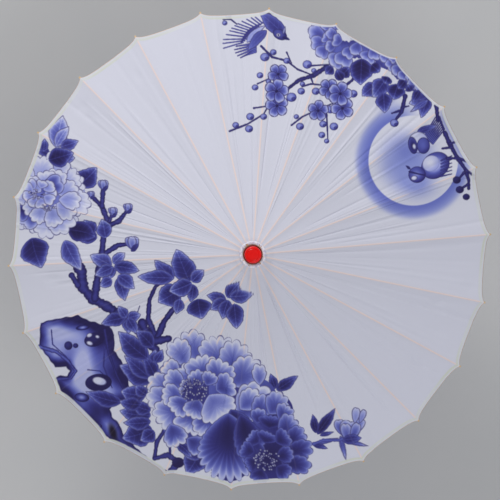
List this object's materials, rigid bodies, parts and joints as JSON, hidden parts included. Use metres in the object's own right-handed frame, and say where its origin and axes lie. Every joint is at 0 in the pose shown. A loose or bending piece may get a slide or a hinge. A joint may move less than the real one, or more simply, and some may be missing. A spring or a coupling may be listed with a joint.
{
  "type": "oil paper umbrella",
  "caption": "Folding umbrella with a printed cloth canopy on bamboo ribs, a wooden shaft with a sliding runner and catch, and a red cap on top.",
  "frame": {"origin": "on the shaft's axis, at the middle of the handle, where a hand or a holder grips it", "axes": "+Z along the shaft from the handle to the cap; +X runs between two ribs, on the catch's side; the rest pose is open"},
  "size_m": [0.833, 0.841, 0.5507],
  "materials": {
    "canopy_cloth": "off-white cloth with a blue and violet ink print",
    "red_lacquer": "glossy red",
    "shaft_wood": "varnished",
    "handle_wood": "varnished",
    "hub_wood": "satin",
    "rib_bamboo": "split bamboo",
    "stretcher_bamboo": "split bamboo",
    "steel_wire": "drawn",
    "spring_steel": "satin",
    "thread": "cotton"
  },
  "bodies": {
    "root": {"shaft": "shaft_wood", "handle_grip": "handle_wood", "handle_end_cap": "red_lacquer", "top_notch": "hub_wood", "notch_wire": "steel_wire", "top_cap": "red_lacquer", "collar": "canopy_cloth", "canopy": "canopy_cloth", "rim_thread": "thread", "latch_pin": "steel_wire", "stop_pin": "steel_wire"},
    "runner": {"runner": "hub_wood", "runner_wire": "steel_wire"},
    "latch": {"latch_spring": "spring_steel"},
    "rib_01": {"rib_01": "rib_bamboo"},
    "stretcher_01": {"stretcher_01": "stretcher_bamboo"},
    "rib_02": {"rib_02": "rib_bamboo"},
    "stretcher_02": {"stretcher_02": "stretcher_bamboo"},
    "rib_03": {"rib_03": "rib_bamboo"},
    "stretcher_03": {"stretcher_03": "stretcher_bamboo"},
    "rib_04": {"rib_04": "rib_bamboo"},
    "stretcher_04": {"stretcher_04": "stretcher_bamboo"},
    "rib_05": {"rib_05": "rib_bamboo"},
    "stretcher_05": {"stretcher_05": "stretcher_bamboo"},
    "rib_06": {"rib_06": "rib_bamboo"},
    "stretcher_06": {"stretcher_06": "stretcher_bamboo"},
    "rib_07": {"rib_07": "rib_bamboo"},
    "stretcher_07": {"stretcher_07": "stretcher_bamboo"},
    "rib_08": {"rib_08": "rib_bamboo"},
    "stretcher_08": {"stretcher_08": "stretcher_bamboo"},
    "rib_09": {"rib_09": "rib_bamboo"},
    "stretcher_09": {"stretcher_09": "stretcher_bamboo"},
    "rib_10": {"rib_10": "rib_bamboo"},
    "stretcher_10": {"stretcher_10": "stretcher_bamboo"},
    "rib_11": {"rib_11": "rib_bamboo"},
    "stretcher_11": {"stretcher_11": "stretcher_bamboo"},
    "rib_12": {"rib_12": "rib_bamboo"},
    "stretcher_12": {"stretcher_12": "stretcher_bamboo"},
    "rib_13": {"rib_13": "rib_bamboo"},
    "stretcher_13": {"stretcher_13": "stretcher_bamboo"},
    "rib_14": {"rib_14": "rib_bamboo"},
    "stretcher_14": {"stretcher_14": "stretcher_bamboo"},
    "rib_15": {"rib_15": "rib_bamboo"},
    "stretcher_15": {"stretcher_15": "stretcher_bamboo"},
    "rib_16": {"rib_16": "rib_bamboo"},
    "stretcher_16": {"stretcher_16": "stretcher_bamboo"},
    "rib_17": {"rib_17": "rib_bamboo"},
    "stretcher_17": {"stretcher_17": "stretcher_bamboo"},
    "rib_18": {"rib_18": "rib_bamboo"},
    "stretcher_18": {"stretcher_18": "stretcher_bamboo"},
    "rib_19": {"rib_19": "rib_bamboo"},
    "stretcher_19": {"stretcher_19": "stretcher_bamboo"},
    "rib_20": {"rib_20": "rib_bamboo"},
    "stretcher_20": {"stretcher_20": "stretcher_bamboo"},
    "rib_21": {"rib_21": "rib_bamboo"},
    "stretcher_21": {"stretcher_21": "stretcher_bamboo"},
    "rib_22": {"rib_22": "rib_bamboo"},
    "stretcher_22": {"stretcher_22": "stretcher_bamboo"}
  },
  "joints": [
    {"name": "runner_slide", "type": "slide", "parent": "root", "child": "runner", "axis": [0, 0, 1], "range_m": [-0.21824, 0], "deforming": ["canopy", "rim_thread"]},
    {"name": "latch_press", "type": "hinge", "parent": "root", "child": "latch", "pos_m": [0, 0, 0.21943], "axis": [0, 1, 0], "range_deg": [-3.2, 0], "stiffness_Nm_per_rad": 0.2, "deforming": ["latch_spring"]},
    {"name": "rib_01_fold", "type": "hinge", "parent": "root", "child": "rib_01", "pos_m": [0.01633, 0.00235, 0.478], "axis": [-0.1423, 0.9898, 0], "range_deg": [0, 65.01]},
    {"name": "stretcher_01_fold", "type": "hinge", "parent": "rib_01", "child": "stretcher_01", "pos_m": [0.18612, 0.02676, 0.4087], "axis": [-0.1423, 0.9898, 0], "range_deg": [-122.29, 0]},
    {"name": "rib_02_fold", "type": "hinge", "parent": "root", "child": "rib_02", "pos_m": [0.01501, 0.00685, 0.478], "axis": [-0.4154, 0.9096, 0], "range_deg": [0, 65.01]},
    {"name": "stretcher_02_fold", "type": "hinge", "parent": "rib_02", "child": "stretcher_02", "pos_m": [0.17104, 0.07811, 0.4087], "axis": [-0.4154, 0.9096, 0], "range_deg": [-122.29, 0]},
    {"name": "rib_03_fold", "type": "hinge", "parent": "root", "child": "rib_03", "pos_m": [0.01247, 0.01081, 0.478], "axis": [-0.6549, 0.7557, 0], "range_deg": [0, 65.01]},
    {"name": "stretcher_03_fold", "type": "hinge", "parent": "rib_03", "child": "stretcher_03", "pos_m": [0.1421, 0.12313, 0.4087], "axis": [-0.6549, 0.7557, 0], "range_deg": [-122.29, 0]},
    {"name": "rib_04_fold", "type": "hinge", "parent": "root", "child": "rib_04", "pos_m": [0.00892, 0.01388, 0.478], "axis": [-0.8413, 0.5406, 0], "range_deg": [0, 65.01]},
    {"name": "stretcher_04_fold", "type": "hinge", "parent": "rib_04", "child": "stretcher_04", "pos_m": [0.10166, 0.15818, 0.4087], "axis": [-0.8413, 0.5406, 0], "range_deg": [-122.29, 0]},
    {"name": "rib_05_fold", "type": "hinge", "parent": "root", "child": "rib_05", "pos_m": [0.00465, 0.01583, 0.478], "axis": [-0.9595, 0.2817, 0], "range_deg": [0, 65.01]},
    {"name": "stretcher_05_fold", "type": "hinge", "parent": "rib_05", "child": "stretcher_05", "pos_m": [0.05297, 0.18041, 0.4087], "axis": [-0.9595, 0.2817, 0], "range_deg": [-122.29, 0]},
    {"name": "rib_06_fold", "type": "hinge", "parent": "root", "child": "rib_06", "pos_m": [0, 0.0165, 0.478], "axis": [-1, 0, 0], "range_deg": [0, 65.01]},
    {"name": "stretcher_06_fold", "type": "hinge", "parent": "rib_06", "child": "stretcher_06", "pos_m": [0, 0.18803, 0.4087], "axis": [-1, 0, 0], "range_deg": [-122.29, 0]},
    {"name": "rib_07_fold", "type": "hinge", "parent": "root", "child": "rib_07", "pos_m": [-0.00465, 0.01583, 0.478], "axis": [-0.9595, -0.2817, 0], "range_deg": [0, 65.01]},
    {"name": "stretcher_07_fold", "type": "hinge", "parent": "rib_07", "child": "stretcher_07", "pos_m": [-0.05297, 0.18041, 0.4087], "axis": [-0.9595, -0.2817, 0], "range_deg": [-122.29, 0]},
    {"name": "rib_08_fold", "type": "hinge", "parent": "root", "child": "rib_08", "pos_m": [-0.00892, 0.01388, 0.478], "axis": [-0.8413, -0.5406, 0], "range_deg": [0, 65.01]},
    {"name": "stretcher_08_fold", "type": "hinge", "parent": "rib_08", "child": "stretcher_08", "pos_m": [-0.10166, 0.15818, 0.4087], "axis": [-0.8413, -0.5406, 0], "range_deg": [-122.29, 0]},
    {"name": "rib_09_fold", "type": "hinge", "parent": "root", "child": "rib_09", "pos_m": [-0.01247, 0.01081, 0.478], "axis": [-0.6549, -0.7557, 0], "range_deg": [0, 65.01]},
    {"name": "stretcher_09_fold", "type": "hinge", "parent": "rib_09", "child": "stretcher_09", "pos_m": [-0.1421, 0.12313, 0.4087], "axis": [-0.6549, -0.7557, 0], "range_deg": [-122.29, 0]},
    {"name": "rib_10_fold", "type": "hinge", "parent": "root", "child": "rib_10", "pos_m": [-0.01501, 0.00685, 0.478], "axis": [-0.4154, -0.9096, 0], "range_deg": [0, 65.01]},
    {"name": "stretcher_10_fold", "type": "hinge", "parent": "rib_10", "child": "stretcher_10", "pos_m": [-0.17104, 0.07811, 0.4087], "axis": [-0.4154, -0.9096, 0], "range_deg": [-122.29, 0]},
    {"name": "rib_11_fold", "type": "hinge", "parent": "root", "child": "rib_11", "pos_m": [-0.01633, 0.00235, 0.478], "axis": [-0.1423, -0.9898, 0], "range_deg": [0, 65.01]},
    {"name": "stretcher_11_fold", "type": "hinge", "parent": "rib_11", "child": "stretcher_11", "pos_m": [-0.18612, 0.02676, 0.4087], "axis": [-0.1423, -0.9898, 0], "range_deg": [-122.29, 0]},
    {"name": "rib_12_fold", "type": "hinge", "parent": "root", "child": "rib_12", "pos_m": [-0.01633, -0.00235, 0.478], "axis": [0.1423, -0.9898, 0], "range_deg": [0, 65.01]},
    {"name": "stretcher_12_fold", "type": "hinge", "parent": "rib_12", "child": "stretcher_12", "pos_m": [-0.18612, -0.02676, 0.4087], "axis": [0.1423, -0.9898, 0], "range_deg": [-122.29, 0]},
    {"name": "rib_13_fold", "type": "hinge", "parent": "root", "child": "rib_13", "pos_m": [-0.01501, -0.00685, 0.478], "axis": [0.4154, -0.9096, 0], "range_deg": [0, 65.01]},
    {"name": "stretcher_13_fold", "type": "hinge", "parent": "rib_13", "child": "stretcher_13", "pos_m": [-0.17104, -0.07811, 0.4087], "axis": [0.4154, -0.9096, 0], "range_deg": [-122.29, 0]},
    {"name": "rib_14_fold", "type": "hinge", "parent": "root", "child": "rib_14", "pos_m": [-0.01247, -0.01081, 0.478], "axis": [0.6549, -0.7557, 0], "range_deg": [0, 65.01]},
    {"name": "stretcher_14_fold", "type": "hinge", "parent": "rib_14", "child": "stretcher_14", "pos_m": [-0.1421, -0.12313, 0.4087], "axis": [0.6549, -0.7557, 0], "range_deg": [-122.29, 0]},
    {"name": "rib_15_fold", "type": "hinge", "parent": "root", "child": "rib_15", "pos_m": [-0.00892, -0.01388, 0.478], "axis": [0.8413, -0.5406, 0], "range_deg": [0, 65.01]},
    {"name": "stretcher_15_fold", "type": "hinge", "parent": "rib_15", "child": "stretcher_15", "pos_m": [-0.10166, -0.15818, 0.4087], "axis": [0.8413, -0.5406, 0], "range_deg": [-122.29, 0]},
    {"name": "rib_16_fold", "type": "hinge", "parent": "root", "child": "rib_16", "pos_m": [-0.00465, -0.01583, 0.478], "axis": [0.9595, -0.2817, 0], "range_deg": [0, 65.01]},
    {"name": "stretcher_16_fold", "type": "hinge", "parent": "rib_16", "child": "stretcher_16", "pos_m": [-0.05297, -0.18041, 0.4087], "axis": [0.9595, -0.2817, 0], "range_deg": [-122.29, 0]},
    {"name": "rib_17_fold", "type": "hinge", "parent": "root", "child": "rib_17", "pos_m": [0, -0.0165, 0.478], "axis": [1, 0, 0], "range_deg": [0, 65.01]},
    {"name": "stretcher_17_fold", "type": "hinge", "parent": "rib_17", "child": "stretcher_17", "pos_m": [0, -0.18803, 0.4087], "axis": [1, 0, 0], "range_deg": [-122.29, 0]},
    {"name": "rib_18_fold", "type": "hinge", "parent": "root", "child": "rib_18", "pos_m": [0.00465, -0.01583, 0.478], "axis": [0.9595, 0.2817, 0], "range_deg": [0, 65.01]},
    {"name": "stretcher_18_fold", "type": "hinge", "parent": "rib_18", "child": "stretcher_18", "pos_m": [0.05297, -0.18041, 0.4087], "axis": [0.9595, 0.2817, 0], "range_deg": [-122.29, 0]},
    {"name": "rib_19_fold", "type": "hinge", "parent": "root", "child": "rib_19", "pos_m": [0.00892, -0.01388, 0.478], "axis": [0.8413, 0.5406, 0], "range_deg": [0, 65.01]},
    {"name": "stretcher_19_fold", "type": "hinge", "parent": "rib_19", "child": "stretcher_19", "pos_m": [0.10166, -0.15818, 0.4087], "axis": [0.8413, 0.5406, 0], "range_deg": [-122.29, 0]},
    {"name": "rib_20_fold", "type": "hinge", "parent": "root", "child": "rib_20", "pos_m": [0.01247, -0.01081, 0.478], "axis": [0.6549, 0.7557, 0], "range_deg": [0, 65.01]},
    {"name": "stretcher_20_fold", "type": "hinge", "parent": "rib_20", "child": "stretcher_20", "pos_m": [0.1421, -0.12313, 0.4087], "axis": [0.6549, 0.7557, 0], "range_deg": [-122.29, 0]},
    {"name": "rib_21_fold", "type": "hinge", "parent": "root", "child": "rib_21", "pos_m": [0.01501, -0.00685, 0.478], "axis": [0.4154, 0.9096, 0], "range_deg": [0, 65.01]},
    {"name": "stretcher_21_fold", "type": "hinge", "parent": "rib_21", "child": "stretcher_21", "pos_m": [0.17104, -0.07811, 0.4087], "axis": [0.4154, 0.9096, 0], "range_deg": [-122.29, 0]},
    {"name": "rib_22_fold", "type": "hinge", "parent": "root", "child": "rib_22", "pos_m": [0.01633, -0.00235, 0.478], "axis": [0.1423, 0.9898, 0], "range_deg": [0, 65.01]},
    {"name": "stretcher_22_fold", "type": "hinge", "parent": "rib_22", "child": "stretcher_22", "pos_m": [0.18612, -0.02676, 0.4087], "axis": [0.1423, 0.9898, 0], "range_deg": [-122.29, 0]}
  ],
  "couplings": [
    {"joint": "rib_01_fold", "follows": "runner_slide", "rad_per_m": -5.1983},
    {"joint": "stretcher_01_fold", "follows": "runner_slide", "rad_per_m": 9.7795},
    {"joint": "rib_02_fold", "follows": "runner_slide", "rad_per_m": -5.1983},
    {"joint": "stretcher_02_fold", "follows": "runner_slide", "rad_per_m": 9.7795},
    {"joint": "rib_03_fold", "follows": "runner_slide", "rad_per_m": -5.1983},
    {"joint": "stretcher_03_fold", "follows": "runner_slide", "rad_per_m": 9.7795},
    {"joint": "rib_04_fold", "follows": "runner_slide", "rad_per_m": -5.1983},
    {"joint": "stretcher_04_fold", "follows": "runner_slide", "rad_per_m": 9.7795},
    {"joint": "rib_05_fold", "follows": "runner_slide", "rad_per_m": -5.1983},
    {"joint": "stretcher_05_fold", "follows": "runner_slide", "rad_per_m": 9.7795},
    {"joint": "rib_06_fold", "follows": "runner_slide", "rad_per_m": -5.1983},
    {"joint": "stretcher_06_fold", "follows": "runner_slide", "rad_per_m": 9.7795},
    {"joint": "rib_07_fold", "follows": "runner_slide", "rad_per_m": -5.1983},
    {"joint": "stretcher_07_fold", "follows": "runner_slide", "rad_per_m": 9.7795},
    {"joint": "rib_08_fold", "follows": "runner_slide", "rad_per_m": -5.1983},
    {"joint": "stretcher_08_fold", "follows": "runner_slide", "rad_per_m": 9.7795},
    {"joint": "rib_09_fold", "follows": "runner_slide", "rad_per_m": -5.1983},
    {"joint": "stretcher_09_fold", "follows": "runner_slide", "rad_per_m": 9.7795},
    {"joint": "rib_10_fold", "follows": "runner_slide", "rad_per_m": -5.1983},
    {"joint": "stretcher_10_fold", "follows": "runner_slide", "rad_per_m": 9.7795},
    {"joint": "rib_11_fold", "follows": "runner_slide", "rad_per_m": -5.1983},
    {"joint": "stretcher_11_fold", "follows": "runner_slide", "rad_per_m": 9.7795},
    {"joint": "rib_12_fold", "follows": "runner_slide", "rad_per_m": -5.1983},
    {"joint": "stretcher_12_fold", "follows": "runner_slide", "rad_per_m": 9.7795},
    {"joint": "rib_13_fold", "follows": "runner_slide", "rad_per_m": -5.1983},
    {"joint": "stretcher_13_fold", "follows": "runner_slide", "rad_per_m": 9.7795},
    {"joint": "rib_14_fold", "follows": "runner_slide", "rad_per_m": -5.1983},
    {"joint": "stretcher_14_fold", "follows": "runner_slide", "rad_per_m": 9.7795},
    {"joint": "rib_15_fold", "follows": "runner_slide", "rad_per_m": -5.1983},
    {"joint": "stretcher_15_fold", "follows": "runner_slide", "rad_per_m": 9.7795},
    {"joint": "rib_16_fold", "follows": "runner_slide", "rad_per_m": -5.1983},
    {"joint": "stretcher_16_fold", "follows": "runner_slide", "rad_per_m": 9.7795},
    {"joint": "rib_17_fold", "follows": "runner_slide", "rad_per_m": -5.1983},
    {"joint": "stretcher_17_fold", "follows": "runner_slide", "rad_per_m": 9.7795},
    {"joint": "rib_18_fold", "follows": "runner_slide", "rad_per_m": -5.1983},
    {"joint": "stretcher_18_fold", "follows": "runner_slide", "rad_per_m": 9.7795},
    {"joint": "rib_19_fold", "follows": "runner_slide", "rad_per_m": -5.1983},
    {"joint": "stretcher_19_fold", "follows": "runner_slide", "rad_per_m": 9.7795},
    {"joint": "rib_20_fold", "follows": "runner_slide", "rad_per_m": -5.1983},
    {"joint": "stretcher_20_fold", "follows": "runner_slide", "rad_per_m": 9.7795},
    {"joint": "rib_21_fold", "follows": "runner_slide", "rad_per_m": -5.1983},
    {"joint": "stretcher_21_fold", "follows": "runner_slide", "rad_per_m": 9.7795},
    {"joint": "rib_22_fold", "follows": "runner_slide", "rad_per_m": -5.1983},
    {"joint": "stretcher_22_fold", "follows": "runner_slide", "rad_per_m": 9.7795}
  ]
}
